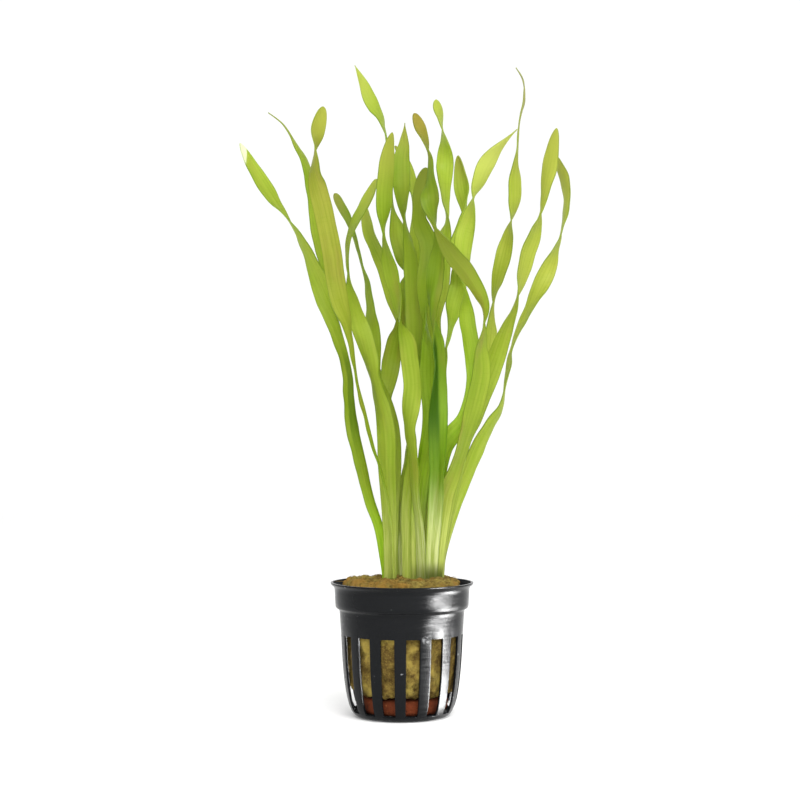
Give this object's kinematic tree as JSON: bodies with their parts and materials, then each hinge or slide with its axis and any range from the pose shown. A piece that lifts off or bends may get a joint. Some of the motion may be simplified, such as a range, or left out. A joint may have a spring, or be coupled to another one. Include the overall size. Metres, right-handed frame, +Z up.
{
  "type": "potted vallisneria",
  "caption": "Potted vallisneria: long twisting strap leaves rising from a fibre plug in a slotted round net pot, for planting in an aquarium.",
  "frame": {"origin": "centre of the net pot's underside, on the surface that it stands on", "axes": "+Z up along the pot's axis; -Y is the front, the side that the picture shows; +X to the right seen from the front"},
  "size_m": [0.1299, 0.0713, 0.2577],
  "materials": {
    "black_plastic": "gloss",
    "terracotta": "matte",
    "rock_wool": "matte",
    "leaf_green": "satin"
  },
  "bodies": {
    "root": {"net_pot": "black_plastic", "clay_weight": "terracotta", "rock_wool": "rock_wool", "leaf_01": "leaf_green", "leaf_02": "leaf_green", "leaf_03": "leaf_green", "leaf_04": "leaf_green", "leaf_05": "leaf_green", "leaf_06": "leaf_green", "leaf_07": "leaf_green", "leaf_08": "leaf_green", "leaf_09": "leaf_green", "leaf_10": "leaf_green", "leaf_11": "leaf_green", "leaf_12": "leaf_green", "leaf_13": "leaf_green", "leaf_14": "leaf_green", "leaf_15": "leaf_green", "leaf_16": "leaf_green", "leaf_17": "leaf_green", "leaf_18": "leaf_green", "leaf_19": "leaf_green"}
  },
  "joints": []
}
